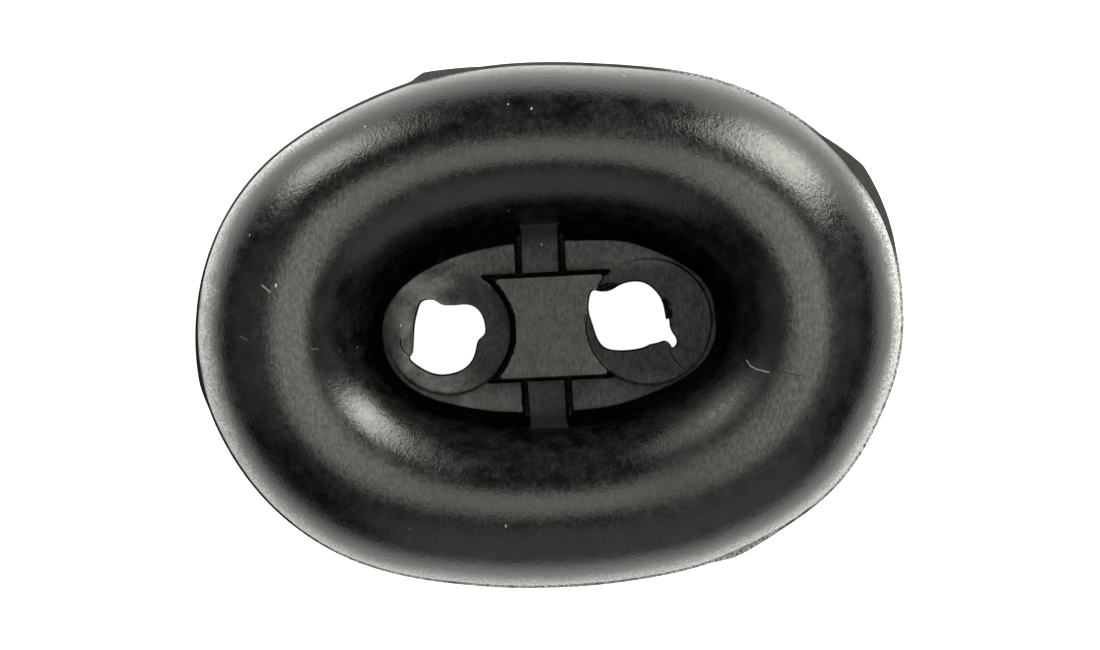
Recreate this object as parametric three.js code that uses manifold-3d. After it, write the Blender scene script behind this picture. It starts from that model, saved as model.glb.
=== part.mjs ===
// Exhaust hanger: a one-piece moulded rubber mount for a car's exhaust.
// A thick oval ring of nearly round section surrounds a recessed eye-shaped hub with two through bores,
// one for the hook on the car body and one for the hook on the exhaust pipe.
// Both faces are alike: raised bosses round the bores, a saddle-shaped buffer block between them that is cut
// free by a narrow slot, and a stop tongue that reaches in from each long side of the ring over a narrow
// moat.
// Millimetres. X runs through both bores, Y across, Z along the bores. The origin is the middle of the part.

import * as THREE from "three";
import { mergeVertices } from "three/addons/utils/BufferGeometryUtils.js";
import Module from "manifold-3d";

// Ring
const overallLength = 90; // over the parting line
const overallWidth = 67; // over the parting line
const ringHeight = 25; // crest to crest
const ringWidthAtEnds = 22.7; // plan width of the ring where it crosses X
const ringWidthAtSides = 20.8; // plan width of the ring where it crosses Y
const crestShare = 0.53; // where the crest lies in the ring's width, from the outside
const ovalFullness = 2.2; // exponent of the ring's ovals: 2 is an ellipse, more is squarer
const ringSections = 64;
const sectionPoints = 24;

// Parting line: a thin ledge left where the mould halves meet, trimmed in straight cuts that leave corners
const ledgeStep = 0.25; // how far the ledge stands out of the ring
const ledgeThickness = 0.6;
const trimCorners = [
  { angle: 24, proud: 0.9, span: 15 },
  { angle: 114, proud: 0.65, span: 10 },
  { angle: 306, proud: 0.5, span: 9 },
]; // bearing in degrees, millimetres left at the corner, and degrees to each side that it runs out over

// Bores and the bosses round them
const boreSpacing = 25;
const boreDiameter = 11;
const boreEdge = 0.5; // lead-in at each mouth
const bossDiameter = 15.8;
const bossHeight = 13.4; // face to face
const bossEdge = 0.4;
const roundSegments = 48;

// Eye-shaped hub
const eyeLength = 42;
const eyeWidth = 21.6;
const eyeFullness = 2.17; // exponent of its outline, as for the ring's ovals
const eyeHeightAtMiddle = 13.2; // face to face
const eyeHeightAtRim = 10.6;
const eyeEdge = 0.6;
const eyeSegments = 60;

// Skirt that sweeps out from the eye to the ring and closes it inside, under a narrow moat
const skirtHeightAtEye = 9.4; // face to face
const skirtHeightAtRing = 1.4; // face to face
const skirtBend = 2.2; // exponent of the sweep: 1 is straight, more is more hollow
const skirtSteps = 4;

// Web left under the slots of both faces
const webThickness = 5;

// Buffer block between the bosses
const blockWidth = 12.6; // across, along Y
const blockHeight = 16; // face to face
const blockEdge = 0.3;
const blockCorner = 0.5; // corner radius in plan
const cornerSteps = 3;
const hollowSteps = 16;
const bossSlot = 0.5; // gap between the block's hollow ends and the bosses
const sideSlot = 0.5; // gap along the block's long sides
const slotCorner = 0.3;

// Stop tongues
const tongueWidth = 4.7;
const tongueHeight = 10.8; // face to face
const tongueEdge = 0.3;
const tongueSlot = 0.75; // gap on each side of a tongue
const tongueOffset = 0.65; // how far both tongues lie from the middle, towards -X
const rootFlare = 0.8; // how far the root spreads on each side where it meets the ring

// How far joined shapes run into each other, and how far cutters run past the part
const lap = 1;

// Points closer than this are one point
const weldDistance = 1e-4;

const rubber = new THREE.MeshStandardMaterial({
  name: "black rubber",
  color: 0x1c1c1b,
  roughness: 0.5,
  metalness: 0,
});

const wasm = await Module();
wasm.setup();

// A closed geometry as a solid that can be joined and cut.
function toSolid(geometry) {
  const bare = geometry.clone();
  bare.deleteAttribute("normal");
  bare.deleteAttribute("uv");
  const merged = mergeVertices(bare, weldDistance);
  return new wasm.Manifold(
    new wasm.Mesh({
      numProp: 3,
      vertProperties: new Float32Array(merged.getAttribute("position").array),
      triVerts: new Uint32Array(merged.index.array),
    }),
  );
}

function toGeometry(solid) {
  const mesh = solid.getMesh();
  const geometry = new THREE.BufferGeometry();
  geometry.setAttribute(
    "position",
    new THREE.BufferAttribute(mesh.vertProperties, 3),
  );
  geometry.setIndex(new THREE.BufferAttribute(mesh.triVerts, 1));
  geometry.computeVertexNormals();
  return geometry;
}

const join = (solids) => solids.reduce((sum, solid) => sum.add(solid));
const cut = (solid, cutters) =>
  cutters.reduce((rest, cutter) => rest.subtract(cutter), solid);

// A point on an oval given by its half length and half width.
function ovalPoint(oval, angle, fullness = ovalFullness) {
  const bend = (value) =>
    Math.sign(value) * Math.abs(value) ** (2 / fullness);
  return new THREE.Vector2(
    oval.x * bend(Math.cos(angle)),
    oval.y * bend(Math.sin(angle)),
  );
}

// The ring's three ovals in plan: outer equator, crest and inner equator.
const outerOval = new THREE.Vector2(
  overallLength / 2 - ledgeStep,
  overallWidth / 2 - ledgeStep,
);
const ringWidths = new THREE.Vector2(ringWidthAtEnds, ringWidthAtSides);
const crestOval = outerOval.clone().addScaledVector(ringWidths, -crestShare);
const innerOval = outerOval.clone().sub(ringWidths);

// How far the ledge stands out at a bearing from the centre, widest at the corners that trimming left.
function ledgeReach(bearing) {
  let reach = ledgeStep;
  for (const corner of trimCorners) {
    const away = Math.abs(bearing - corner.angle);
    reach += corner.proud * Math.max(0, 1 - away / corner.span);
  }
  return reach;
}

// One section of the ring: half an ellipse outside the crest and half an ellipse inside it, with the ledge
// at the outer end.
function ringSection(around) {
  const crest = ovalPoint(crestOval, around);
  const outer = ovalPoint(outerOval, around);
  const inner = ovalPoint(innerOval, around);
  const section = [];
  const addPoint = (plan, height) =>
    section.push(new THREE.Vector3(plan.x, plan.y, height));
  const ledgeTurn = Math.asin(ledgeThickness / ringHeight);
  const ledgeRoot = crest.clone().lerp(outer, Math.cos(ledgeTurn));
  const bearing = THREE.MathUtils.radToDeg(outer.angle());
  const ledgeEdge = outer.clone();
  ledgeEdge.setLength(outer.length() + ledgeReach(bearing));
  addPoint(ledgeRoot, -ledgeThickness / 2);
  addPoint(ledgeEdge, -ledgeThickness / 2);
  addPoint(ledgeEdge, ledgeThickness / 2);
  addPoint(ledgeRoot, ledgeThickness / 2);
  for (let j = 1; j < sectionPoints; j++) {
    const turn = (j / sectionPoints) * 2 * Math.PI;
    const out = Math.cos(turn);
    const plan = crest.clone().lerp(out > 0 ? outer : inner, Math.abs(out));
    addPoint(plan, (ringHeight / 2) * Math.sin(turn));
  }
  return section;
}

// A solid lofted through the sections that a function gives for each angle, and back to the first.
function loftSolid(sectionAt) {
  const sections = [];
  for (let i = 0; i < ringSections; i++) {
    sections.push(sectionAt((i / ringSections) * 2 * Math.PI));
  }
  const perSection = sections[0].length;
  const index = [];
  for (let i = 0; i < ringSections; i++) {
    const next = (i + 1) % ringSections;
    for (let j = 0; j < perSection; j++) {
      const up = (j + 1) % perSection;
      const a = i * perSection + j;
      const b = next * perSection + j;
      const c = next * perSection + up;
      const d = i * perSection + up;
      index.push(a, b, c, a, c, d);
    }
  }
  const geometry = new THREE.BufferGeometry();
  geometry.setFromPoints(sections.flat());
  geometry.setIndex(index);
  return toSolid(geometry);
}

// A flat shape as a prism centred on the middle plane, with rounded edges at both faces.
function prism(shape, height, edge) {
  const geometry = new THREE.ExtrudeGeometry(shape, {
    depth: height - 2 * edge,
    bevelEnabled: edge > 0,
    bevelThickness: edge,
    bevelSize: edge,
    bevelOffset: -edge,
    bevelSegments: 2,
    curveSegments: cornerSteps,
  });
  return geometry.translate(0, 0, edge - height / 2);
}

// A square-edged prism from one height to another, on the face that side gives (1 up, -1 down).
function facePrism(shape, from, to, side) {
  const middle = (side * (from + to)) / 2;
  return prism(shape, to - from, 0).translate(0, 0, middle);
}

const eyeOval = new THREE.Vector2(eyeLength / 2, eyeWidth / 2);

// One section of the skirt, from inside the ring's wall up to the eye and down again on the lower face.
function skirtSection(around) {
  const eye = ovalPoint(eyeOval, around, eyeFullness);
  const reach = innerOval.clone().max(eyeOval).addScalar(lap);
  const wall = ovalPoint(reach, around);
  const low = skirtHeightAtRing / 2;
  const top = skirtHeightAtEye / 2;
  const upper = [];
  for (let i = 0; i <= skirtSteps; i++) {
    const share = i / skirtSteps;
    const plan = wall.clone().lerp(eye, share);
    const height = low + (top - low) * share ** skirtBend;
    upper.push(new THREE.Vector3(plan.x, plan.y, height));
  }
  const inside = eye.clone().setLength(eye.length() - lap);
  upper.push(new THREE.Vector3(inside.x, inside.y, top));
  const mirror = new THREE.Vector3(1, 1, -1);
  const lower = upper.map((point) => point.clone().multiply(mirror));
  return [...upper, ...lower.reverse()];
}

// The eye: a shallow dome on both faces, turned round Z and narrowed to an oval.
function eyeSolid() {
  const radius = eyeLength / 2;
  const middle = eyeHeightAtMiddle / 2;
  const rim = eyeHeightAtRim / 2;
  const profile = new THREE.Path();
  profile.moveTo(0, -middle);
  profile.quadraticCurveTo(radius / 2, -middle, radius - eyeEdge, -rim);
  profile.quadraticCurveTo(radius, -rim, radius, eyeEdge - rim);
  profile.lineTo(radius, rim - eyeEdge);
  profile.quadraticCurveTo(radius, rim, radius - eyeEdge, rim);
  profile.quadraticCurveTo(radius / 2, middle, 0, middle);
  const geometry = new THREE.LatheGeometry(profile.getPoints(3), eyeSegments);
  geometry.rotateX(Math.PI / 2);
  const position = geometry.getAttribute("position");
  for (let i = 0; i < position.count; i++) {
    const plan = new THREE.Vector2(position.getX(i), position.getY(i));
    const oval = eyeOval.clone().multiplyScalar(plan.length() / radius);
    const point = ovalPoint(oval, plan.angle(), eyeFullness);
    position.setXY(i, point.x, point.y);
  }
  return toSolid(geometry);
}

const sides = [-1, 1];

// A turned solid on a bore's axis, from a profile of radius and height.
function turned(profile, side) {
  const geometry = new THREE.LatheGeometry(profile, roundSegments);
  geometry.rotateX(Math.PI / 2);
  return toSolid(geometry.translate((side * boreSpacing) / 2, 0, 0));
}

function bossSolid(side) {
  const radius = bossDiameter / 2;
  const top = bossHeight / 2;
  const profile = new THREE.Path();
  profile.moveTo(0, -top);
  profile.lineTo(radius - bossEdge, -top);
  profile.quadraticCurveTo(radius, -top, radius, bossEdge - top);
  profile.lineTo(radius, top - bossEdge);
  profile.quadraticCurveTo(radius, top, radius - bossEdge, top);
  profile.lineTo(0, top);
  return turned(profile.getPoints(2), side);
}

function boreCutter(side) {
  const radius = boreDiameter / 2;
  const top = bossHeight / 2;
  return turned(
    [
      new THREE.Vector2(0, -top - lap),
      new THREE.Vector2(radius + boreEdge + lap, -top - lap),
      new THREE.Vector2(radius, boreEdge - top),
      new THREE.Vector2(radius, top - boreEdge),
      new THREE.Vector2(radius + boreEdge + lap, top + lap),
      new THREE.Vector2(0, top + lap),
    ],
    side,
  );
}

// Points along an arc, both ends included.
function arcPoints(centre, radius, from, to, steps) {
  const points = [];
  for (let i = 0; i <= steps; i++) {
    const angle = from + ((to - from) * i) / steps;
    const offset = new THREE.Vector2(Math.cos(angle), Math.sin(angle));
    points.push(centre.clone().addScaledVector(offset, radius));
  }
  return points;
}

// The saddle outline between the bosses: straight long sides, ends hollowed round the bore axes, and
// corners rounded where the two meet.
function saddleShape(endRadius, halfWidth, cornerRadius) {
  const axis = boreSpacing / 2;
  const cornerY = halfWidth - cornerRadius;
  const swing = Math.asin(cornerY / (endRadius + cornerRadius));
  const cornerX = axis - (endRadius + cornerRadius) * Math.cos(swing);
  const lower = new THREE.Vector2(cornerX, -cornerY);
  const upper = new THREE.Vector2(cornerX, cornerY);
  const end = new THREE.Vector2(axis, 0);
  const turn = Math.PI;
  const hollow = arcPoints(
    end,
    endRadius,
    turn + swing,
    turn - swing,
    hollowSteps,
  );
  const half = [
    ...arcPoints(lower, cornerRadius, -turn / 2, swing, cornerSteps),
    ...hollow.slice(1, -1),
    ...arcPoints(upper, cornerRadius, -swing, turn / 2, cornerSteps),
  ];
  const otherHalf = half.map((point) => point.clone().negate());
  return new THREE.Shape([...half, ...otherHalf]);
}

function blockSolid() {
  const endRadius = bossDiameter / 2 + bossSlot;
  const shape = saddleShape(endRadius, blockWidth / 2, blockCorner);
  return toSolid(prism(shape, blockHeight, blockEdge));
}

// The pocket that frees the block. Its ends run under the bosses, which are joined on after it is cut.
function pocketCutters() {
  const halfWidth = blockWidth / 2 + sideSlot;
  const endRadius = Math.max(bossDiameter / 2 - lap / 2, halfWidth);
  const shape = saddleShape(endRadius, halfWidth, slotCorner);
  const from = webThickness / 2;
  const to = blockHeight / 2 + lap;
  return sides.map((side) => toSolid(facePrism(shape, from, to, side)));
}

const tongueTip = blockWidth / 2 + sideSlot;
const wallAtSide = innerOval.y;

// Puts what is made for the tongue on the +Y side at its place, or turned round to the -Y side.
function atTongue(geometry, side) {
  if (side < 0) geometry.rotateZ(Math.PI);
  return toSolid(geometry.translate(-tongueOffset, 0, 0));
}

// The channel in the eye that a tongue lies in, cut on both faces.
function channelCutters() {
  const half = tongueWidth / 2 + tongueSlot;
  const shape = new THREE.Shape();
  shape.moveTo(-half, tongueTip - lap / 2);
  shape.lineTo(half, tongueTip - lap / 2);
  shape.lineTo(half, wallAtSide + 2 * lap);
  shape.lineTo(-half, wallAtSide + 2 * lap);
  const from = webThickness / 2;
  const to = eyeHeightAtMiddle / 2 + lap;
  return sides.flatMap((side) =>
    sides.map((face) => atTongue(facePrism(shape, from, to, face), side)),
  );
}

// A tongue: a straight tip, and a root that spreads into the ring's wall in two hollow curves.
function tongueSolid(side) {
  const half = tongueWidth / 2;
  const rootStart = wallAtSide - rootFlare;
  const rootEnd = wallAtSide + rootFlare;
  const shape = new THREE.Shape();
  shape.moveTo(-half, tongueTip);
  shape.lineTo(half, tongueTip);
  shape.lineTo(half, rootStart);
  shape.quadraticCurveTo(half, rootEnd, half + rootFlare, rootEnd);
  shape.lineTo(half + rootFlare, rootEnd + lap);
  shape.lineTo(-half - rootFlare, rootEnd + lap);
  shape.lineTo(-half - rootFlare, rootEnd);
  shape.quadraticCurveTo(-half, rootEnd, -half, rootStart);
  return atTongue(prism(shape, tongueHeight, tongueEdge), side);
}

function hangerGeometry() {
  const eye = eyeSolid().add(loftSolid(skirtSection));
  const hub = join([
    cut(eye, [...pocketCutters(), ...channelCutters()]),
    blockSolid(),
    ...sides.map(bossSolid),
    ...sides.map(tongueSolid),
  ]);
  const body = loftSolid(ringSection).add(hub);
  return toGeometry(cut(body, sides.map(boreCutter)));
}

const hanger = new THREE.Mesh(hangerGeometry(), rubber);
hanger.name = "hanger_body";

const group = new THREE.Group();
group.name = "exhaust_hanger";
group.add(hanger);

export default group;
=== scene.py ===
import math
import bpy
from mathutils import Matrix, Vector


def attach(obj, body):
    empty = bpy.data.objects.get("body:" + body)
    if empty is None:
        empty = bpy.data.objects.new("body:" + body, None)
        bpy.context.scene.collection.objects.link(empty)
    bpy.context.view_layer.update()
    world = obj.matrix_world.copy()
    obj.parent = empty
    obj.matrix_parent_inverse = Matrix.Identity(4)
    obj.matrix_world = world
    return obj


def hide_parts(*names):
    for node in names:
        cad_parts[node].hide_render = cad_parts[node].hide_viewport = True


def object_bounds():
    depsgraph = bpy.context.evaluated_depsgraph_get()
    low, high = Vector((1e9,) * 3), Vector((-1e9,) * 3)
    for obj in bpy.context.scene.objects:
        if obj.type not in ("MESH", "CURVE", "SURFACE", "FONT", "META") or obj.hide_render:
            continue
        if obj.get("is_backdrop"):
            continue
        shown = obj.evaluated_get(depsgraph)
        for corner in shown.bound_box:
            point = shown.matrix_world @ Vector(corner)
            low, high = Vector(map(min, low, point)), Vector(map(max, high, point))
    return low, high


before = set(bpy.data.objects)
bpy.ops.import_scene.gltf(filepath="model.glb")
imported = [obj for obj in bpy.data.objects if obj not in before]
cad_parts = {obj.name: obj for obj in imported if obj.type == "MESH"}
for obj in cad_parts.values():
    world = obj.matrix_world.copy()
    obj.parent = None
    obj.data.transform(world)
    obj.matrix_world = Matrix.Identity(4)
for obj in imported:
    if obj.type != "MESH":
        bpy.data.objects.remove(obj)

from types import SimpleNamespace

import bpy
import numpy as np
from mathutils import Matrix, Vector

# The exhaust hanger's fine surface, its rubber and its studio.
# Metres. X runs through both bores, Y across, Z along the bores. The origin is the middle of the part.

MM = 0.001
cad_low, cad_high = (Vector(corner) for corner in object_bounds())
OVERALL = cad_high - cad_low

# Ring
LEDGE_STEP = 0.4 * MM
LEDGE_THICKNESS = 0.5 * MM
RING_WIDTH_AT_ENDS = 22.55 * MM
RING_WIDTH_AT_SIDES = 20.65 * MM
CREST_SHARE = 0.53
OVAL_FULLNESS = 2.2

# How finely the curves are cut
RING_SECTIONS = 288
SECTION_POINTS = 88
EYE_SEGMENTS = 192
EYE_STEPS = 10
SKIRT_SEGMENTS = 144
SKIRT_STEPS = 10
BORE_SEGMENTS = 128
EDGE_STEPS = 4
HOLLOW_STEPS = 32
CORNER_STEPS = 5
FLARE_STEPS = 6
GROOVE_STEPS = 40

# Unevenness of the ring's outline: (bearing in degrees, metres out, degrees to each side)
OUTLINE_WAVES = [
    (0, -0.15 * MM, 12),
    (45, 0.3 * MM, 25),
    (75, -0.3 * MM, 22),
    (131, -0.35 * MM, 20),
    (181, 0.3 * MM, 18),
    (225, 0.65 * MM, 28),
    (300, 0.15 * MM, 15),
    (342, -0.6 * MM, 18),
]

# Corners that trimming left on the ledge: (bearing in degrees, metres out, degrees before it and after it)
TRIM_CORNERS = [
    (24.1, 1.2 * MM, 15, 8),
    (114, 0.7 * MM, 12, 3),
    (187, 0.25 * MM, 12, 4),
    (306, 0.5 * MM, 5, 11),
]

# Bores and bosses
BORE_SPACING = 25 * MM
BORE_RADIUS = 5.5 * MM
BOSS_RADIUS = 7.9 * MM
BOSS_TOP = 6.7 * MM
BOSS_EDGE = 0.4 * MM
MOUTH_FLARE = 3 * MM

# Where the camera stands
CAMERA_PLACE = Vector((12 * MM, 10 * MM, 350 * MM))

# The skin left in the upper mouth of each bore, torn open along the line of sight
SKIN_LOW = 4.4 * MM
TORN_EDGE = 0.3 * MM
TORN_LEAN = 1 / CAMERA_PLACE.z

# Share of each side that is cut off at a torn corner, and how many times
CORNER_CUT = 0.25
CORNER_ROUNDS = 2

# The worn torn edge: (height over the face, distance out), as shares of TORN_EDGE
TORN_WEAR = [(-2, 0), (-1, 0.15), (-0.25, 0.6), (0.25, 1)]

# Torn edges, clockwise round the bore's axis, in mm
TORN_LEFT = [
    (-2.6, 4.1), (-1.5, 4.0), (-0.7, 3.3), (0.7, 3.2), (2.8, 3.3), (4.0, 2.4), (4.5, 1.1),
    (4.6, -0.3), (4.2, -0.8), (3.5, -1.3), (3.2, -2.7), (2.6, -4.0), (1.3, -5.0), (-0.8, -5.4),
    (-2.4, -5.1), (-3.8, -4.3), (-5.2, -3.1), (-4.6, -2.6), (-4.4, -1.0), (-4.2, 1.1),
    (-3.7, 2.8), (-3.3, 3.8),
]
TORN_RIGHT = [
    (-1.7, 5.1), (-0.3, 4.9), (0.8, 4.1), (1.8, 2.7), (2.1, 1.1), (2.2, 0.0), (2.6, 0.4),
    (2.6, -1.1), (3.6, -2.6), (2.8, -3.6), (2.2, -2.3), (0.9, -2.7), (0.0, -2.8), (-0.8, -3.2),
    (-2.3, -3.4), (-3.9, -3.4), (-5.5, -3.1), (-6.4, -2.0), (-6.9, -0.1), (-7.4, 1.7),
    (-7.2, 3.3), (-6.8, 4.3), (-5.8, 4.0), (-4.6, 4.0), (-3.2, 4.8),
]

# Hollows where the skin sags: (x, y, half length, half width, depth, turn in degrees), in mm
SKIN_SAGS = [
    (-11.6, 3.5, 4.4, 2.4, 0.9, -4),
    (-17.3, -1.6, 1.2, 2.4, 0.6, 10),
    (14.7, 1.4, 0.9, 1.8, 1.8, 12),
    (7.8, 4.0, 2.4, 1.2, 1.6, 8),
]
CRACKS = [
    [(15.0, -3.6), (15.3, -4.5), (15.8, -5.3), (16.7, -6.2)],
    [(-18.6, -0.4), (-18.5, -1.6), (-18.1, -2.3), (-17.5, -2.9)],
]
CRACK_WIDTH = 0.14 * MM
CRACK_DEPTH = 0.7 * MM

# Where a groove parts each boss from the eye: (side, first and last bearing in degrees)
BOSS_GROOVES = [(-1, 222, 318), (1, 232, 388)]
GROOVE_WIDTH = 0.24 * MM
GROOVE_DEPTH = 1.4 * MM

# Eye-shaped hub
EYE_LENGTH = 42 * MM
EYE_WIDTH = 21.6 * MM
EYE_FULLNESS = 2.17
EYE_TOP_AT_MIDDLE = 6.4 * MM
EYE_TOP_AT_RIM = 6.1 * MM
EYE_EDGE = 0.6 * MM
EYE_WAVES = [
    (17, 0.5 * MM, 18),
    (45, 0.9 * MM, 28),
    (206, 0.8 * MM, 26),
    (232, 0.4 * MM, 20),
    (265, 0.5 * MM, 28),
    (305, 0.5 * MM, 30),
    (342, 0.55 * MM, 22),
]
EYE_RISE_TO_BACK = 0.05
EYE_RISE_TO_LEFT = 0.02
SKIRT_TOP = 4.7 * MM
SKIRT_LOW = 0.7 * MM
SKIRT_BEND = 2.2
SLOT_FLOOR = 2.5 * MM

# Buffer block
BLOCK_HALF_WIDTH = 6.3 * MM
BLOCK_TOP = 8 * MM
BLOCK_CORNER = 0.4 * MM
LEFT_BOSS_SLOT = 0.6 * MM
RIGHT_BOSS_SLOT = -0.1 * MM
SIDE_SLOT = 0.5 * MM
SLOT_CORNER = 0.3 * MM

# Stop tongues
TONGUE_HALF_WIDTH = 2.35 * MM
TONGUE_TOP = 5.4 * MM
TONGUE_SLOT = 0.75 * MM
TONGUE_OFFSET = -0.65 * MM
TONGUE_SLOPE = 0.3
ROOT_FLARE = 0.3 * MM

# Lengths that follow from those above
TONGUE_TIP = BLOCK_HALF_WIDTH + SIDE_SLOT
WALL_AT_SIDE = OVERALL.y / 2 - LEDGE_STEP - RING_WIDTH_AT_SIDES
CUTTER_REACH = 2 * BLOCK_TOP

# How the solids overlap, and how the hub is softened
LAP = 1 * MM
VOXEL = 0.2 * MM
HUB_SHARE_KEPT = 0.55
SOFTENING_STEPS = 4
SOFTENING = 0.5
SHARP_ANGLE = math.radians(40)


def new_piece(name, vertices, faces):
    """A mesh object in the scene."""
    mesh = bpy.data.meshes.new(name)
    mesh.from_pydata([tuple(v) for v in vertices], [], faces)
    mesh.update()
    piece = bpy.data.objects.new(name, mesh)
    bpy.context.scene.collection.objects.link(piece)
    return piece


def apply_modifier(piece, kind, **settings):
    """Adds a modifier and keeps its result as the piece's own mesh."""
    modifier = piece.modifiers.new(kind, kind)
    for name, value in settings.items():
        setattr(modifier, name, value)
    depsgraph = bpy.context.evaluated_depsgraph_get()
    mesh = bpy.data.meshes.new_from_object(piece.evaluated_get(depsgraph))
    piece.modifiers.clear()
    piece.data = mesh


def combine(piece, other, operation):
    """Joins another solid to the piece, or cuts it away, and deletes the other solid."""
    apply_modifier(piece, "BOOLEAN", object=other, operation=operation, solver="MANIFOLD")
    bpy.data.objects.remove(other)


def oval(half_length, half_width, around, fullness=OVAL_FULLNESS):
    """Points on an oval, one for each angle."""
    cos, sin = np.cos(around), np.sin(around)
    power = 2 / fullness
    x = half_length * np.sign(cos) * np.abs(cos) ** power
    y = half_width * np.sign(sin) * np.abs(sin) ** power
    return np.stack([x, y], axis=-1)


def bearing_gap(bearing, centre):
    """Degrees from centre to each bearing, between -180 and 180."""
    return (bearing - centre + 180) % 360 - 180


def wave(bearing, bulges):
    """How far an outline bulges out at each bearing."""
    reach = np.zeros_like(bearing)
    for centre, out, spread in bulges:
        near = np.clip(1 - np.abs(bearing_gap(bearing, centre)) / spread, 0, 1)
        reach += out * near * near * (3 - 2 * near)
    return reach


def ledge_reach(bearing):
    """How far the ledge stands out from the ring at each bearing."""
    reach = np.full_like(bearing, LEDGE_STEP)
    for corner, out, before, after in TRIM_CORNERS:
        gap = bearing_gap(bearing, corner)
        spread = np.where(gap < 0, before, after)
        reach += out * np.clip(1 - np.abs(gap) / spread, 0, 1)
    return reach


def pushed_out(points, reach):
    """Points moved away from the origin by a reach in metres for each."""
    length = np.linalg.norm(points, axis=1, keepdims=True)
    return points * (1 + reach[:, None] / length)


def loft(name, rings):
    """A closed tube through rings of points, all alike in number, from the last back to the first."""
    count, size = len(rings), len(rings[0])
    faces = []
    for i in range(count):
        following = (i + 1) % count
        for j in range(size):
            up = (j + 1) % size
            faces.append((i * size + j, following * size + j, following * size + up, i * size + up))
    return new_piece(name, np.concatenate(rings), faces)


def ring_solid():
    """The ring and its ledge, lofted through upright sections that each lie in one piece of the oval."""
    half_length = OVERALL.x / 2 - LEDGE_STEP
    half_width = OVERALL.y / 2 - LEDGE_STEP
    around = np.linspace(0, 2 * math.pi, RING_SECTIONS, endpoint=False)
    outer = oval(half_length, half_width, around)
    crest = oval(
        half_length - CREST_SHARE * RING_WIDTH_AT_ENDS,
        half_width - CREST_SHARE * RING_WIDTH_AT_SIDES,
        around,
    )
    inner = oval(half_length - RING_WIDTH_AT_ENDS, half_width - RING_WIDTH_AT_SIDES, around)
    bearing = np.degrees(np.arctan2(outer[:, 1], outer[:, 0])) % 360
    outer = pushed_out(outer, wave(bearing, OUTLINE_WAVES))
    ledge = pushed_out(outer, ledge_reach(bearing))
    half_height = OVERALL.z / 2
    ledge_turn = math.asin(LEDGE_THICKNESS / 2 / half_height)
    turns = np.linspace(ledge_turn, 2 * math.pi - ledge_turn, SECTION_POINTS)
    rings = []
    for i in range(RING_SECTIONS):
        side = np.where(np.cos(turns)[:, None] > 0, outer[i], inner[i])
        plan = crest[i] + (side - crest[i]) * np.abs(np.cos(turns))[:, None]
        section = np.column_stack([plan, half_height * np.sin(turns)])
        edge = [[*ledge[i], -LEDGE_THICKNESS / 2], [*ledge[i], LEDGE_THICKNESS / 2]]
        rings.append(np.concatenate([section, edge]))
    return loft("ring", rings)


def stack_solid(name, levels):
    """A solid through (height, outline) levels from low to high, whose outlines run anticlockwise."""
    count = len(levels[0][1])
    vertices = [(x, y, height) for height, outline in levels for x, y in outline]
    faces = [tuple(range(count))[::-1], tuple(range(len(vertices) - count, len(vertices)))]
    for start in range(0, len(vertices) - count, count):
        for i in range(count):
            following = start + (i + 1) % count
            faces.append((start + i, following, following + count, start + i + count))
    return new_piece(name, vertices, faces)


def prism_solid(name, outline, low, high):
    return stack_solid(name, [(low, outline), (high, outline)])


def lathe_solid(name, profile, segments, centre_x=0.0):
    """A solid turned round an upright axis, from (radius, height) points that start and end on the axis."""
    vertices = [(centre_x, 0, profile[0][1]), (centre_x, 0, profile[-1][1])]
    rows = profile[1:-1]
    for i in range(segments):
        angle = 2 * math.pi * i / segments
        for radius, height in rows:
            x = centre_x + radius * math.cos(angle)
            vertices.append((x, radius * math.sin(angle), height))
    faces = []
    size = len(rows)
    for i in range(segments):
        here = 2 + i * size
        there = 2 + (i + 1) % segments * size
        faces.append((0, there, here))
        faces.append((1, here + size - 1, there + size - 1))
        for j in range(size - 1):
            faces.append((here + j, there + j, there + j + 1, here + j + 1))
    return new_piece(name, vertices, faces)


def quarter_turn(radius, top, edge):
    """(radius, height) points round the upper outer edge of a turned solid, from the wall to the face."""
    points = []
    for i in range(EDGE_STEPS + 1):
        angle = math.pi / 2 * i / EDGE_STEPS
        points.append((radius - edge + edge * math.cos(angle), top - edge + edge * math.sin(angle)))
    return points


def mirrored_profile(upper):
    """A full profile, bottom to top, from its upper half."""
    return [(radius, -height) for radius, height in reversed(upper)] + upper


def eye_solid():
    radius = EYE_LENGTH / 2
    upper = quarter_turn(radius, EYE_TOP_AT_RIM, EYE_EDGE)
    for i in range(1, EYE_STEPS + 1):
        share = 1 - i / EYE_STEPS
        rise = EYE_TOP_AT_MIDDLE - EYE_TOP_AT_RIM
        upper.append(((radius - EYE_EDGE) * share, EYE_TOP_AT_RIM + rise * (1 - share**2)))
    eye = lathe_solid("eye", mirrored_profile(upper), EYE_SEGMENTS)
    for vertex in eye.data.vertices:
        place = vertex.co
        out = place.xy.length
        plan = oval(out, out * EYE_WIDTH / EYE_LENGTH, math.atan2(place.y, place.x), EYE_FULLNESS)
        bulge = wave(np.degrees(math.atan2(plan[1], plan[0])), EYE_WAVES)
        place.xy = plan * (1 + bulge / (EYE_LENGTH / 2))
        if place.z > 0:
            rise = EYE_RISE_TO_BACK * place.y - EYE_RISE_TO_LEFT * place.x
            place.z += rise * place.z / EYE_TOP_AT_MIDDLE
    return eye


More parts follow.
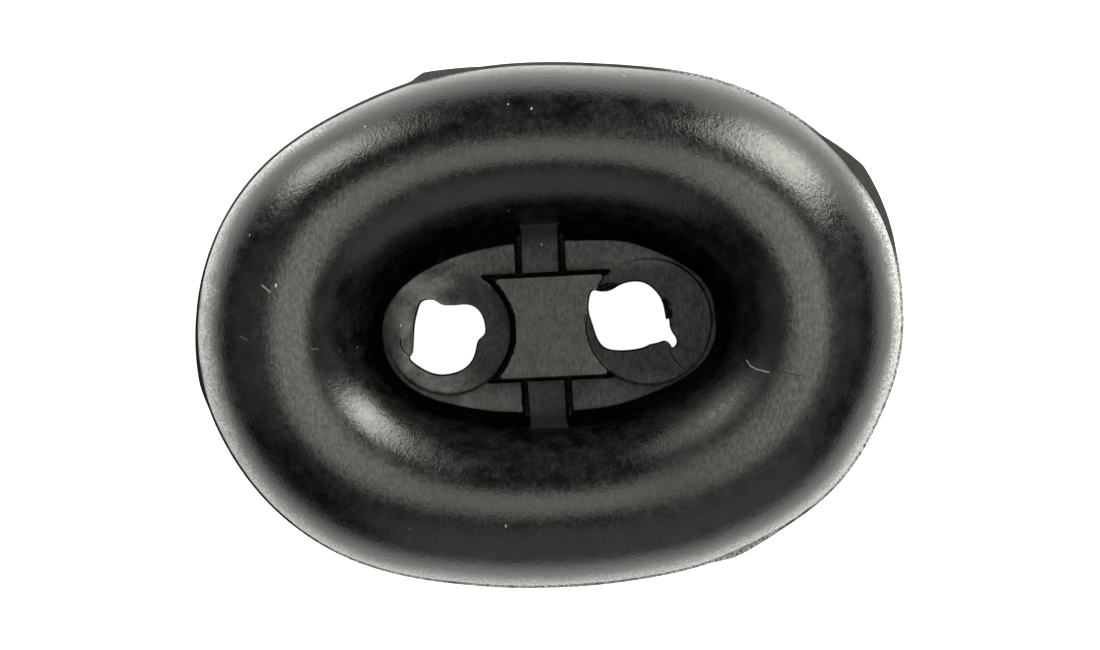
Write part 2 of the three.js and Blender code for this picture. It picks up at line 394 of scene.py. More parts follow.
def skirt_solid():
    """The eye's foot, which sweeps out to the ring on both faces and leaves a narrow moat above it."""
    around = np.linspace(0, 2 * math.pi, SKIRT_SEGMENTS, endpoint=False)
    eye = oval(EYE_LENGTH / 2, EYE_WIDTH / 2, around, EYE_FULLNESS)
    inside = pushed_out(eye, np.full(len(eye), -LAP))
    wall = oval(OVERALL.x / 2 - LEDGE_STEP - RING_WIDTH_AT_ENDS + LAP, WALL_AT_SIDE + LAP, around)
    rings = []
    for i in range(len(around)):
        upper = []
        for step in range(SKIRT_STEPS + 1):
            share = 1 - step / SKIRT_STEPS
            height = SKIRT_LOW + (SKIRT_TOP - SKIRT_LOW) * (1 - share) ** SKIRT_BEND
            upper.append((*(eye[i] + (wall[i] - eye[i]) * share), height))
        upper.append((*inside[i], SKIRT_TOP))
        lower = [(x, y, -height) for x, y, height in reversed(upper)]
        rings.append(np.array(upper + lower))
    return loft("skirt", rings)


def boss_solid(side):
    upper = quarter_turn(BOSS_RADIUS, BOSS_TOP, BOSS_EDGE) + [(0, BOSS_TOP)]
    return lathe_solid("boss", mirrored_profile(upper), BORE_SEGMENTS, side * BORE_SPACING / 2)


def arc(centre, radius, start, end, steps):
    """Points on an arc from one angle to another."""
    points = []
    for i in range(steps + 1):
        angle = start + (end - start) * i / steps
        points.append((centre[0] + radius * math.cos(angle), centre[1] + radius * math.sin(angle)))
    return points


def saddle_end(end_radius, half_width, corner):
    """The right end of a block: hollowed round the bore's axis, with rounded corners at its sides."""
    axis = BORE_SPACING / 2
    corner_y = half_width - corner
    swing = math.asin(corner_y / (end_radius + corner))
    corner_x = axis - (end_radius + corner) * math.cos(swing)
    hollow = arc((axis, 0), end_radius, math.pi + swing, math.pi - swing, HOLLOW_STEPS)
    end = arc((corner_x, -corner_y), corner, -math.pi / 2, swing, CORNER_STEPS)
    end += hollow[1:-1]
    return end + arc((corner_x, corner_y), corner, -swing, math.pi / 2, CORNER_STEPS)


def block_solid():
    right, left = (
        saddle_end(BOSS_RADIUS + slot, BLOCK_HALF_WIDTH, BLOCK_CORNER)
        for slot in (RIGHT_BOSS_SLOT, LEFT_BOSS_SLOT)
    )
    outline = right + [(-x, -y) for x, y in left]
    return prism_solid("block", outline, -BLOCK_TOP, BLOCK_TOP)


def rectangle(x_low, x_high, y_low, y_high):
    return [(x_low, y_low), (x_high, y_low), (x_high, y_high), (x_low, y_high)]


def tongue_solid(side):
    half = TONGUE_HALF_WIDTH
    root_end = WALL_AT_SIDE + ROOT_FLARE
    flare_centre = (half + ROOT_FLARE, root_end - ROOT_FLARE)
    flare = arc(flare_centre, ROOT_FLARE, math.pi, math.pi / 2, FLARE_STEPS)
    edge = [(half, TONGUE_TIP), *flare, (half + ROOT_FLARE, root_end + LAP)]
    outline = edge + [(-x, y) for x, y in reversed(edge)]
    outline = [(side * x + TONGUE_OFFSET, side * y) for x, y in outline]
    tongue = prism_solid("tongue", outline, -TONGUE_TOP, TONGUE_TOP)
    for vertex in tongue.data.vertices:
        fall = TONGUE_SLOPE * (abs(vertex.co.y) - TONGUE_TIP)
        vertex.co.z = math.copysign(TONGUE_TOP - fall, vertex.co.z)
    return tongue


def cut_slots(hub):
    """Cuts the block's pocket and the tongues' channels into both faces, down to the web."""
    half_width = BLOCK_HALF_WIDTH + SIDE_SLOT
    pocket_end = saddle_end(max(BOSS_RADIUS - LAP / 2, half_width), half_width, SLOT_CORNER)
    pocket = pocket_end + [(-x, -y) for x, y in pocket_end]
    channel_half = TONGUE_HALF_WIDTH + TONGUE_SLOT
    x_low, x_high = TONGUE_OFFSET - channel_half, TONGUE_OFFSET + channel_half
    channel_end = TONGUE_TIP + 2 * EYE_WIDTH
    for low, high in ((SLOT_FLOOR, CUTTER_REACH), (-CUTTER_REACH, -SLOT_FLOOR)):
        combine(hub, prism_solid("pocket", pocket, low, high), "DIFFERENCE")
        for y_low, y_high in ((TONGUE_TIP - LAP / 2, channel_end), (-channel_end, LAP / 2 - TONGUE_TIP)):
            channel = rectangle(x_low, x_high, y_low, y_high)
            combine(hub, prism_solid("channel", channel, low, high), "DIFFERENCE")


def sag_skin(hub):
    """Lets the skin in the bores sag into smooth hollows."""
    for x, y, half_length, half_width, depth, turn in SKIN_SAGS:
        unturn = Matrix.Rotation(math.radians(-turn), 2)
        to_sag = Matrix.Diagonal((1 / half_length, 1 / half_width)) @ unturn
        for vertex in hub.data.vertices:
            if vertex.co.z > SKIN_LOW:
                away = to_sag @ (vertex.co.xy / MM - Vector((x, y)))
                vertex.co.z -= depth * MM * max(0, 1 - away.length_squared) ** 2


def hub_solid():
    """The recessed middle: eye, web, block, bosses and tongues, softened like moulded rubber."""
    hub = eye_solid()
    combine(hub, skirt_solid(), "UNION")
    cut_slots(hub)
    combine(hub, block_solid(), "UNION")
    for side in (-1, 1):
        combine(hub, boss_solid(side), "UNION")
        combine(hub, tongue_solid(side), "UNION")
    apply_modifier(hub, "REMESH", mode="VOXEL", voxel_size=VOXEL)
    apply_modifier(hub, "SMOOTH", factor=SOFTENING, iterations=SOFTENING_STEPS)
    sag_skin(hub)
    apply_modifier(hub, "DECIMATE", ratio=HUB_SHARE_KEPT)
    return hub


def bore_cutter(side):
    """The clean part of a bore, open at the lower face and closed by the skin near the upper one."""
    mouth = BOSS_TOP - BOSS_EDGE
    low = -mouth - MOUTH_FLARE
    profile = [(0, low), (BORE_RADIUS + MOUTH_FLARE, low), (BORE_RADIUS, -mouth)]
    profile += [(BORE_RADIUS, SKIN_LOW - LAP), (BORE_RADIUS - LAP, SKIN_LOW), (0, SKIN_LOW)]
    return lathe_solid("bore", profile, BORE_SEGMENTS, side * BORE_SPACING / 2)


def rounded(outline):
    """Cuts the corners off a closed outline, again and again."""
    for _ in range(CORNER_ROUNDS):
        following = np.roll(outline, -1, axis=0)
        after_corner = (1 - CORNER_CUT) * outline + CORNER_CUT * following
        before_next = CORNER_CUT * outline + (1 - CORNER_CUT) * following
        outline = np.stack([after_corner, before_next], axis=1).reshape(-1, 2)
    return outline


def torn_cutter(side, clockwise):
    """The ragged hole in the skin of a bore, with worn edges at the upper face."""
    outline = rounded(np.array(clockwise[::-1]) * MM)
    centre = outline.mean(axis=0)
    wear = [(BOSS_TOP + above * TORN_EDGE, out * TORN_EDGE) for above, out in TORN_WEAR]
    skin_height = wear[0][0]
    levels = []
    for height, out in [(-CUTTER_REACH, 0), *wear, (CUTTER_REACH, TORN_EDGE)]:
        level = centre + pushed_out(outline - centre, np.full(len(outline), out))
        level += (side * BORE_SPACING / 2, 0)
        level += (level - CAMERA_PLACE.xy) * TORN_LEAN * max(0, skin_height - height)
        levels.append((height, level))
    return stack_solid("torn", levels)


def groove_cutter(points, width, depth):
    """Cuts a thin groove along points, down from the top of the bosses."""
    middle = np.array(points)
    along = np.gradient(middle, axis=0)
    across = np.stack([-along[:, 1], along[:, 0]], axis=1)
    across *= width / 2 / np.linalg.norm(across, axis=1, keepdims=True)
    outline = np.concatenate([middle - across, (middle + across)[::-1]])
    return prism_solid("groove", outline, BOSS_TOP - depth, CUTTER_REACH)


def hanger_body():
    """The whole moulding: the ring and hub, less the bores, torn holes, cracks and grooves."""
    body = ring_solid()
    combine(body, hub_solid(), "UNION")
    for side, torn in ((-1, TORN_LEFT), (1, TORN_RIGHT)):
        combine(body, bore_cutter(side), "DIFFERENCE")
        combine(body, torn_cutter(side, torn), "DIFFERENCE")
    for crack in CRACKS:
        combine(body, groove_cutter(np.array(crack) * MM, CRACK_WIDTH, CRACK_DEPTH), "DIFFERENCE")
    for side, first, last in BOSS_GROOVES:
        centre = (side * BORE_SPACING / 2, 0)
        points = arc(centre, BOSS_RADIUS, math.radians(first), math.radians(last), GROOVE_STEPS)
        combine(body, groove_cutter(points, GROOVE_WIDTH, GROOVE_DEPTH), "DIFFERENCE")
    body.name = "hanger_rubber"
    body.data.shade_smooth()
    body.data.set_sharp_from_angle(angle=SHARP_ANGLE)
    return body


# Rubber

# Marks on the rubber: (points in mm, half width in mm, grey level)
MARKS = [
    ([(24.4, -5.3), (24.8, -6.0), (25.5, -6.4), (26.9, -6.8)], 0.11, 0.2),
    ([(28.6, -6.8), (30.7, -7.4)], 0.12, 0.0),
    ([(-34.8, 7.0), (-33.8, 6.1)], 0.14, 0.2),
    ([(-38.0, 0.8), (-37.1, 0.4)], 0.16, 0.05),
    ([(-29.2, -1.2), (-28.4, -1.2)], 0.14, 0.05),
]
SPECK_SPACING = 3 * MM
SPECK_RADIUS = 0.16 * MM
SPECK_CORE = 0.6
SPECK_LEVEL = 0.5

# Patterns: (size of a spot, detail, roughness), and the span of the noise that shows
MOTTLE = (2.5 * MM, 4, 0.6)
STREAKS = (0.4 * MM, 3, 0.65)
GRAIN = (0.3 * MM, 3, 0.65)
LUMPS = (0.8 * MM, 3, 0.6)
SCRAPES = (0.3 * MM, 4, 0.75)
BAND_WAVES = (5 * MM, 5, 0.7)
NOISE_SPAN = (0.3, 0.7)
LUMP_SPAN = (0.35, 0.65)
SCRAPE_SPAN = (0.36, 0.64)
STREAK_STRETCH = (1, 0.5, 1)
SCRAPE_STRETCH = (1, 1, 0.2)

# Places. Each pair is where a smooth change starts and where it is complete
RING_OUTSIDE = (30 * MM, 40 * MM)
CREST_HEIGHT = (11.6 * MM, 12.35 * MM)
CREST_TILT = (0.24, 0.1)
RING_ENDS = (12 * MM, 30 * MM)
# Hub faces steeper than this keep the ring's near-black level: painted shade on the walls
FLAT_FACING = (0.6, 0.92)
HUB_ROOF = (9.5 * MM, 8.3 * MM)
# Hub floors lower than this, in the slots and the moat, keep the ring's near-black level: painted shade
HUB_BASE = (3 * MM, 3.8 * MM)
BLOCK_FACE = (6.9 * MM, 7.6 * MM)
# Where the hub turns paler towards the left, from dust and painted light
DUSTY_LEFT = (-8.5 * MM, -14 * MM)
FAR_LEFT = (-17.5 * MM, -20.5 * MM)
EYE_SIDES = (6 * MM, 8 * MM)
# Where the hub turns paler towards the lower left, from dust and painted light
DUSTY_LOW_X = (2 * MM, -5 * MM)
DUSTY_LOW_Y = (-5.5 * MM, -7.5 * MM)
TONGUE_SIDES = (3 * MM, 2.6 * MM)
# Where the tongues run into the ring, painted black as shade
TONGUE_ROOT = (9.5 * MM, 12 * MM)
SLOT_LOW = (1.8 * MM, 2.3 * MM)
SLOT_HIGH = (3.4 * MM, 2.8 * MM)
SLOT_FACING = (0.9, 0.97)
RIGHT_WALL_X = (8 * MM, 16 * MM)
LEFT_WALL_X = (-6 * MM, -14 * MM)
FRONT_WALL_Y = (0, -8 * MM)
SHOULDER_X = (5 * MM, 22 * MM)
SHOULDER_Y = (4 * MM, 14 * MM)
SHOULDER_HEIGHT = (11 * MM, 8.5 * MM)

# Grey levels of the rubber
# Dust on the crest plus a painted sheen, paler on the outward side of the crest at the ends
DUST_AT_ENDS = 0.05
DUST_ON_CREST = 0.014
MOTTLE_ON_RING = 0.012
STREAKS_ON_RING = 0.75
LEAST_ON_RING = 0.2
STREAKS_ON_HUB = 0.03
MOTTLE_ON_HUB = 0.02
# Dust plus painted light at the left of the hub, less of it at the far left
DUST_AT_LEFT = 0.08
DUST_ON_BLOCK = 0.01
# Dust plus painted light at the lower left of the hub
DUST_AT_LOW = 0.02
# The bosses are darker than the block and the paler left
DULL_BOSS = 0.45
# The tongues are a little darker
DULL_TONGUE = 0.25
DULL_FAR_LEFT = 0.4
CLEAN_FAR_LEFT = 0.7

# The scuffed band along the mould line, which fades at the back and lies a little higher at the left end
BAND_LEFT_X = (-25 * MM, -42 * MM)
BAND_LEFT_Y = (16 * MM, 4 * MM)
BAND_TOP = (7.6 * MM, 3.6 * MM)
BAND_FOOT = (-2.6 * MM, 1.2 * MM)
BAND_WAVE_HEIGHT = 5 * MM
FOOT_LIFT_AT_LEFT = 4.4 * MM
TOP_LIFT_AT_LEFT = 1.8 * MM
DARK_LEDGE_HEIGHT = (0.5 * MM, 0.3 * MM)
DARK_LEDGE_Y = (3 * MM, 8 * MM)
BACK_START = 19 * MM
BACK_END = 24 * MM
BACK_SLANT = 0.17
SCUFF_AT_BACK = 0.1
SCUFF_LEVEL = 0.8
PATCH_SPAN = (-0.2, 0.5)
DULL_FOOT = (0.5 * MM, -2.5 * MM)

# The worn edge of the ledge at the upper right
WORN_LEDGE_HEIGHT = (0.7 * MM, 0.5 * MM)
WORN_LEDGE_START = (14 * MM, 21 * MM)
WORN_LEDGE_END = (36 * MM, 31 * MM)
WORN_LEDGE_Y = (8 * MM, 12 * MM)
WORN_LEDGE_LEVEL = 0.6

# Roughness, and what each pattern or place adds to it
ROUGH_BASE = 0.14
ROUGH_GRAIN = 0.06
ROUGH_MOTTLE = 0.06
ROUGH_LUMPS = 0.07
ROUGH_RIGHT_WALL = 0.18
ROUGH_LEFT_WALL = 0.03
ROUGH_HUB = 0.45
ROUGH_DULL_BOSS = 0.25
ROUGH_SLOT_FLOOR = 0.6
ROUGH_SCUFF = 0.3
ROUGH_SHOULDER = 0.12
ROUGH_FOOT = 0.6

# Bump
BUMP_GRAIN = 0.4
BUMP_STREAKS = 0.3
BUMP_LUMPS = 0.35
BUMP_STRENGTH = 0.24
BUMP_DISTANCE = 0.1 * MM


class Level:
    """A shader value that adds, subtracts and multiplies like a number."""

    def __init__(self, tree, socket):
        self.tree = tree
        self.socket = socket

    def calculate(self, operation, first, second=0.0):
        node = add_node(self.tree, "ShaderNodeMath", {0: first, 1: second}, operation=operation)
        return Level(self.tree, node.outputs[0])

    def __add__(self, other):
        return self.calculate("ADD", self, other)

    def __sub__(self, other):
        return self.calculate("SUBTRACT", self, other)

    def __rsub__(self, other):
        return self.calculate("SUBTRACT", other, self)

    def __mul__(self, other):
        return self.calculate("MULTIPLY", self, other)

    __radd__ = __add__
    __rmul__ = __mul__

    def __abs__(self):
        return self.calculate("ABSOLUTE", self)

    def root(self):
        return self.calculate("SQRT", self)

    def most(self, other):
        return self.calculate("MAXIMUM", self, other)


def set_input(tree, socket, value):
    """Links a level or another node's output to a socket, or sets a plain value on it."""
    if isinstance(value, Level):
        value = value.socket
    if isinstance(value, bpy.types.NodeSocket):
        tree.links.new(value, socket)
    else:
        socket.default_value = value


def add_node(tree, kind, inputs=None, **settings):
    """A new shader node with its inputs and settings."""
    node = tree.nodes.new(kind)
    for name, value in settings.items():
        setattr(node, name, value)
    for name, value in (inputs or {}).items():
        set_input(tree, node.inputs[name], value)
    return node


def vector_math(tree, operation, first, second=None):
    """The output sockets of a node that calculates with vectors."""
    inputs = {0: first} if second is None else {0: first, 1: second}
    return add_node(tree, "ShaderNodeVectorMath", inputs, operation=operation).outputs


def axis_levels(tree, vector):
    """A vector's X, Y and Z."""
    outputs = add_node(tree, "ShaderNodeSeparateXYZ", {"Vector": vector}).outputs
    return [Level(tree, outputs[axis]) for axis in "XYZ"]


def fade(level, start, end):
    """0 before start, 1 after end, and smooth between them."""
    inputs = {"Value": level, "From Min": start, "From Max": end}
    node = add_node(level.tree, "ShaderNodeMapRange", inputs, interpolation_type="SMOOTHSTEP")
    return Level(level.tree, node.outputs[0])


def noise(tree, place, size, detail, roughness):
    """Noise between 0 and 1 with spots of about the given size in metres."""
    inputs = {"Vector": place, "Scale": 1 / size, "Detail": detail, "Roughness": roughness}
    return Level(tree, add_node(tree, "ShaderNodeTexNoise", inputs).outputs["Fac"])


def stretched(tree, place, scale):
    return add_node(tree, "ShaderNodeMapping", {"Vector": place, "Scale": scale}).outputs[0]


def blend_level(tree, share, first, second):
    """A level between two others. A mix node takes them at its inputs 2 and 3."""
    return Level(tree, add_node(tree, "ShaderNodeMix", {0: share, 2: first, 3: second}).outputs[0])


def blend_colour(tree, share, first, second):
    """A colour between two others. A mix node takes them at its inputs 6 and 7."""
    mix = add_node(tree, "ShaderNodeMix", {0: share, 6: first, 7: second}, data_type="RGBA")
    return mix.outputs[2]


def grey(level):
    return (level, level, level, 1)


def new_material(name):
    material = bpy.data.materials.new(name)
    material.use_nodes = True
    tree = material.node_tree
    tree.nodes.clear()
    output = add_node(tree, "ShaderNodeOutputMaterial")
    return material, tree, output


def specks(tree, place, spacing, radius):
    """Small scattered dots, some bright and most faint."""
    cells = add_node(tree, "ShaderNodeTexVoronoi", {"Vector": place, "Scale": 1 / spacing}).outputs
    share = radius / spacing
    dot = fade(Level(tree, cells["Distance"]), share, SPECK_CORE * share)
    lot = Level(tree, add_node(tree, "ShaderNodeSeparateColor", {"Color": cells["Color"]}).outputs["Red"])
    return dot * lot * lot * lot


def stroke(tree, place, start, end, half_width):
    """1 on a thin straight line between two (x, y) points in mm, seen from above."""
    first = Vector((*start, 0)) * MM
    along = Vector((*end, 0)) * MM - first
    flat = vector_math(tree, "MULTIPLY", place, (1, 1, 0))[0]
    offset = vector_math(tree, "SUBTRACT", flat, first)[0]
    share = vector_math(tree, "DOT_PRODUCT", offset, along / along.length_squared)["Value"]
    share = add_node(tree, "ShaderNodeClamp", {"Value": share}).outputs[0]
    scale_inputs = {0: along, "Scale": share}
    nearest = add_node(tree, "ShaderNodeVectorMath", scale_inputs, operation="SCALE").outputs[0]
    gap = vector_math(tree, "DISTANCE", offset, nearest)["Value"]
    return fade(Level(tree, gap), half_width, half_width / 2)


def rubber_places(tree):
    """A point's coordinates, and for each named place a level that is 1 there and 0 elsewhere."""
    at = SimpleNamespace()
    at.place = add_node(tree, "ShaderNodeTexCoord").outputs["Object"]
    at.x, at.y, z = axis_levels(tree, at.place)
    at.height = abs(z)
    normal = add_node(tree, "ShaderNodeNewGeometry").outputs["Normal"]
    facing = abs(axis_levels(tree, normal)[2])
    flat = vector_math(tree, "MULTIPLY", at.place, (1, 1, 0))[0]
    flat = vector_math(tree, "NORMALIZE", flat)[0]
    outward = Level(tree, vector_math(tree, "DOT_PRODUCT", normal, flat)["Value"])
    across = at.y * (OVERALL.x / OVERALL.y)
    at.outside = fade((at.x * at.x + across * across).root(), *RING_OUTSIDE)
    inside = 1 - at.outside

    at.crest = fade(at.height, *CREST_HEIGHT)
    # Outward side of the crest, where dust and a painted sheen are laid
    at.dusty_crest = at.crest * fade(outward, *CREST_TILT)
    at.ends = fade(abs(at.x), *RING_ENDS)
    # Only the hub's high, flat faces get its paler level; its walls and low floors stay near black as
    # painted shade
    at.hub_face = fade(facing, *FLAT_FACING) * inside
    at.hub_face *= fade(at.height, *HUB_ROOF) * fade(at.height, *HUB_BASE)
    at.block_face = fade(at.height, *BLOCK_FACE)
    at.far_left = fade(at.x, *FAR_LEFT)
    # Paler left of the hub: dust and painted light
    at.dusty_left = fade(at.x, *DUSTY_LEFT) * (1 - CLEAN_FAR_LEFT * at.far_left)
    # Paler lower left of the hub: dust and painted light
    at.dusty_low = fade(at.x, *DUSTY_LOW_X) * fade(at.y, *DUSTY_LOW_Y)
    eye_sides = fade(abs(at.y), *EYE_SIDES)
    # Bosses: darker in colour and rougher
    at.dull_boss = (1 - at.block_face) * (1 - at.dusty_left) * (1 - eye_sides)
    at.tongue = fade(abs(at.x - TONGUE_OFFSET), *TONGUE_SIDES) * eye_sides
    # Painted shade at the tongues' roots
    at.tongue_root = at.tongue * fade(abs(at.y), *TONGUE_ROOT)
    at.slot_floor = fade(at.height, *SLOT_LOW) * fade(at.height, *SLOT_HIGH)
    at.slot_floor *= inside * fade(facing, *SLOT_FACING)
    front_wall = fade(at.y, *FRONT_WALL_Y) * inside
    at.right_wall = fade(at.x, *RIGHT_WALL_X) * front_wall
    at.left_wall = fade(at.x, *LEFT_WALL_X) * front_wall
    at.shoulder = fade(at.x, *SHOULDER_X) * fade(at.y, *SHOULDER_Y)
    at.shoulder *= fade(at.height, *SHOULDER_HEIGHT) * at.outside
    return at


def rubber_patterns(tree, place):
    """The patterns that cover all the rubber, each between 0 and 1."""
    drawn = stretched(tree, place, STREAK_STRETCH)
    scraped = stretched(tree, place, SCRAPE_STRETCH)
    return SimpleNamespace(
        drawn=drawn,
        mottle=fade(noise(tree, place, *MOTTLE), *NOISE_SPAN),
        streaks=fade(noise(tree, drawn, *STREAKS), *NOISE_SPAN),
        grain=fade(noise(tree, place, *GRAIN), *NOISE_SPAN),
        lumps=fade(noise(tree, place, *LUMPS), *LUMP_SPAN),
        rubbed=fade(noise(tree, scraped, *SCRAPES), *SCRAPE_SPAN),
    )


def clean_level(tree, at, pattern):
    """How grey the rubber is before scuffs and marks: dust with a painted sheen on the crest, dust with
    painted light at the left and lower left of the hub, painted shade at the tongue roots and on the hub's
    walls and low floors, and darker bosses and tongues.
    """
    # Dust and painted sheen on the crest; the rest of the ring is mottled black
    dust = DUST_AT_ENDS * at.dusty_crest * at.ends + DUST_ON_CREST * at.crest
    ring = (dust + MOTTLE_ON_RING * pattern.mottle) * (STREAKS_ON_RING * pattern.streaks + LEAST_ON_RING)
    hub = STREAKS_ON_HUB * pattern.streaks + MOTTLE_ON_HUB * pattern.mottle
    # Dust and painted light at the left
    hub += DUST_AT_LEFT * at.dusty_left * pattern.mottle
    hub += DUST_ON_BLOCK * at.block_face + DUST_AT_LOW * at.dusty_low
    # Darker bosses and tongues
    hub *= (1 - DULL_BOSS * at.dull_boss) * (1 - DULL_TONGUE * at.tongue)
    # Painted shade blacks out the tongue roots; the far left is darker
    hub *= (1 - at.tongue_root) * (1 - DULL_FAR_LEFT * at.far_left)
    # Away from those faces, the ring's near-black level stands in for shade
    return blend_level(tree, at.hub_face, ring, hub)


def scuffed_band(tree, at, pattern):
    """The scuffs along the mould line, and the dull foot of the ring below them at the left end."""
    at_left = fade(at.x, *BAND_LEFT_X) * fade(at.y, *BAND_LEFT_Y)
    waves = BAND_WAVE_HEIGHT * (noise(tree, at.place, *BAND_WAVES) - 0.5)
    from_foot = at.height - FOOT_LIFT_AT_LEFT * at_left + waves
    from_top = at.height - TOP_LIFT_AT_LEFT * at_left + waves
    dark_ledge = fade(at.height, *DARK_LEDGE_HEIGHT) * fade(at.y, *DARK_LEDGE_Y)
    band = fade(from_top, *BAND_TOP) * fade(from_foot, *BAND_FOOT) * (1 - dark_ledge) * at.outside
    back_inputs = {
        "Value": at.y + BACK_SLANT * at.x,
        "From Min": BACK_START,
        "From Max": BACK_END,
        "To Min": 1,
        "To Max": SCUFF_AT_BACK,
    }
    towards_back = Level(tree, add_node(tree, "ShaderNodeMapRange", back_inputs).outputs[0])
    scuff = band * towards_back * pattern.rubbed * fade(pattern.mottle, *PATCH_SPAN)
    foot = fade(from_foot, *DULL_FOOT) * at.outside
    return scuff, foot


def worn_ledge(at):
    """Where the trimmed ledge at the upper right is worn pale."""
    along = fade(at.x, *WORN_LEDGE_START) * fade(at.x, *WORN_LEDGE_END) * fade(at.y, *WORN_LEDGE_Y)
    return along * fade(at.height, *WORN_LEDGE_HEIGHT) * at.outside


def rubber_material():
    material, tree, output = new_material("rubber")
    at = rubber_places(tree)
    pattern = rubber_patterns(tree, at.place)
    scuff, foot = scuffed_band(tree, at, pattern)

    level = clean_level(tree, at, pattern)
    colour_inputs = {"Red": level, "Green": level, "Blue": level}
    base = add_node(tree, "ShaderNodeCombineColor", colour_inputs).outputs[0]
    base = blend_colour(tree, scuff, base, grey(SCUFF_LEVEL))
    base = blend_colour(tree, worn_ledge(at) * pattern.rubbed, base, grey(WORN_LEDGE_LEVEL))
    dots = specks(tree, pattern.drawn, SPECK_SPACING, SPECK_RADIUS)
    base = blend_colour(tree, dots, base, grey(SPECK_LEVEL))
    for points, half_width, mark_level in MARKS:
        for start, end in zip(points, points[1:]):
            mark = stroke(tree, at.place, start, end, half_width * MM)
            base = blend_colour(tree, mark, base, grey(mark_level))

    rough = ROUGH_BASE + ROUGH_GRAIN * pattern.grain + ROUGH_MOTTLE * pattern.mottle
    rough += ROUGH_LUMPS * pattern.lumps
    rough += ROUGH_RIGHT_WALL * at.right_wall + ROUGH_LEFT_WALL * at.left_wall
    rough += ROUGH_HUB * at.hub_face + ROUGH_DULL_BOSS * at.hub_face * at.dull_boss
    rough += ROUGH_SLOT_FLOOR * at.slot_floor + ROUGH_SHOULDER * at.shoulder
    rough += ROUGH_SCUFF * scuff + ROUGH_FOOT * foot

    relief = BUMP_GRAIN * pattern.grain + BUMP_STREAKS * pattern.streaks + BUMP_LUMPS * pattern.lumps
    bump_inputs = {"Height": relief, "Strength": BUMP_STRENGTH, "Distance": BUMP_DISTANCE}
    bump = add_node(tree, "ShaderNodeBump", bump_inputs)
    shader_inputs = {"Base Color": base, "Roughness": rough, "Normal": bump.outputs[0]}
    shader = add_node(tree, "ShaderNodeBsdfPrincipled", shader_inputs)
    tree.links.new(shader.outputs[0], output.inputs["Surface"])
    return material


# Studio

FLOOR_HALF = 3.0
FLOOR_LEVEL = 0.8
FLOOR_GLOW = 0.93
GLOW_FADE = (0.1, 0.25)
LAMP_COLOUR = (1, 0.985, 0.91)
WORLD_STRENGTH = 0.06
CAMERA_ROLL = math.radians(2.9)
VIEW_WIDTH = 140 * MM
SENSOR_WIDTH_MM = 36


def floor_material():
    """Pale and lit, and white near the part for what the camera or a reflection sees, shadow kept."""
    material, tree, output = new_material("floor")
    place = add_node(tree, "ShaderNodeTexCoord").outputs["Object"]
    distance = Level(tree, vector_math(tree, "LENGTH", place)["Value"])
    near = 1 - fade(distance, *GLOW_FADE)
    path = add_node(tree, "ShaderNodeLightPath").outputs
    seen = Level(tree, path["Is Camera Ray"]).most(path["Is Glossy Ray"])
    glow = FLOOR_GLOW * seen.most(path["Is Transmission Ray"]) * near
    diffuse = add_node(tree, "ShaderNodeBsdfDiffuse", {"Color": grey(FLOOR_LEVEL)})
    emission = add_node(tree, "ShaderNodeEmission", {"Color": grey(1), "Strength": glow})
    total = add_node(tree, "ShaderNodeAddShader", {0: diffuse.outputs[0], 1: emission.outputs[0]})
    tree.links.new(total.outputs[0], output.inputs["Surface"])
    return material


def make_floor():
    corners = rectangle(-FLOOR_HALF, FLOOR_HALF, -FLOOR_HALF, FLOOR_HALF)
    floor = new_piece("floor", [(x, y, cad_low.z) for x, y in corners], [(0, 1, 2, 3)])
    floor.data.materials.append(floor_material())
    floor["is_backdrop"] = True


def aim(obj, place, right):
    """Puts the object at a place, looking at the middle of the part, with its own +X along right."""
    backward = place.normalized()
    up = backward.cross(right)
    rotation = Matrix((right, up, backward)).transposed()
    obj.matrix_world = Matrix.Translation(place) @ rotation.to_4x4()


def make_camera():
    data = bpy.data.cameras.new("camera")
    data.sensor_width = SENSOR_WIDTH_MM
    data.lens = data.sensor_width * CAMERA_PLACE.length / VIEW_WIDTH
    camera = bpy.data.objects.new("camera", data)
    bpy.context.scene.collection.objects.link(camera)
    level_right = Vector((0, 1, 0)).cross(CAMERA_PLACE).normalized()
    rolled_right = Matrix.Rotation(-CAMERA_ROLL, 3, CAMERA_PLACE) @ level_right
    aim(camera, CAMERA_PLACE, rolled_right)
    bpy.context.scene.camera = camera


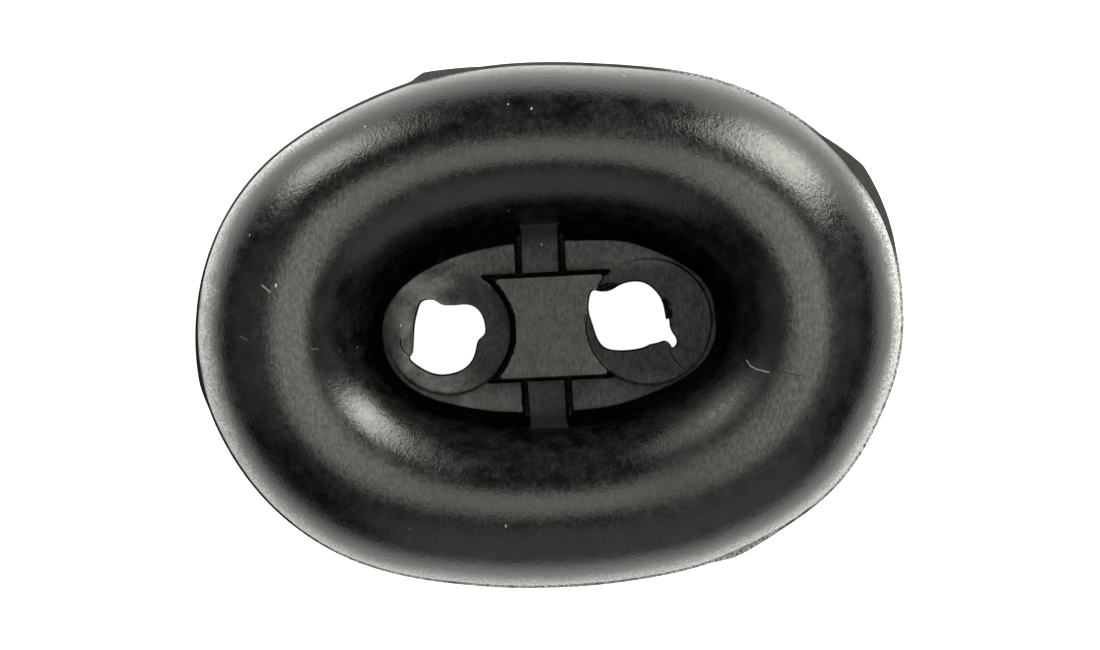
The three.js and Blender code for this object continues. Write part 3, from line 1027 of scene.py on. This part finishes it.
def make_lamp(name, bearing, tip, distance, width, height, radiance):
    """A lamp that faces the part, at a bearing round Z and tipped from straight up, in degrees."""
    data = bpy.data.lights.new(name, "AREA")
    data.shape = "RECTANGLE"
    data.size = width
    data.size_y = height
    data.energy = radiance * math.pi * width * height
    data.color = LAMP_COLOUR
    lamp = bpy.data.objects.new(name, data)
    bpy.context.scene.collection.objects.link(lamp)
    turn, lean = math.radians(bearing), math.radians(tip)
    outward = Vector((math.cos(turn), math.sin(turn), 0))
    place = distance * (math.sin(lean) * outward + math.cos(lean) * Vector((0, 0, 1)))
    aim(lamp, place, Vector((-math.sin(turn), math.cos(turn), 0)))
    lamp.visible_camera = False


def make_lamps():
    """Soft lamps overhead for the crest, two low ones for the highlights, and three dim fills."""
    make_lamp("lamp_over", bearing=0, tip=3, distance=0.6, width=0.42, height=0.49, radiance=1.7)
    make_lamp("lamp_over_east", bearing=0, tip=15, distance=0.61, width=0.42, height=0.12, radiance=1.7)
    make_lamp("lamp_over_west", bearing=180, tip=13, distance=0.61, width=0.42, height=0.12, radiance=1.7)
    make_lamp("lamp_right", bearing=48, tip=74, distance=0.8, width=0.32, height=0.8, radiance=15)
    make_lamp("lamp_left", bearing=126, tip=79, distance=0.8, width=0.27, height=0.5, radiance=9.4)
    make_lamp("lamp_fill", bearing=-80, tip=62, distance=0.9, width=1.2, height=0.8, radiance=0.7)
    make_lamp("lamp_fill_east", bearing=0, tip=52, distance=0.9, width=0.7, height=0.7, radiance=0.35)
    make_lamp("lamp_fill_west", bearing=180, tip=52, distance=0.9, width=0.7, height=0.7, radiance=0.35)


def make_world():
    world = bpy.data.worlds.new("world")
    bpy.context.scene.world = world
    world.use_nodes = True
    background = world.node_tree.nodes["Background"]
    background.inputs["Color"].default_value = grey(1)
    background.inputs["Strength"].default_value = WORLD_STRENGTH


body = hanger_body()
body.data.materials.clear()
body.data.materials.append(rubber_material())
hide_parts("hanger_body")
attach(body, "root")

make_floor()
make_camera()
make_lamps()
make_world()
bpy.context.scene.view_settings.view_transform = "Standard"
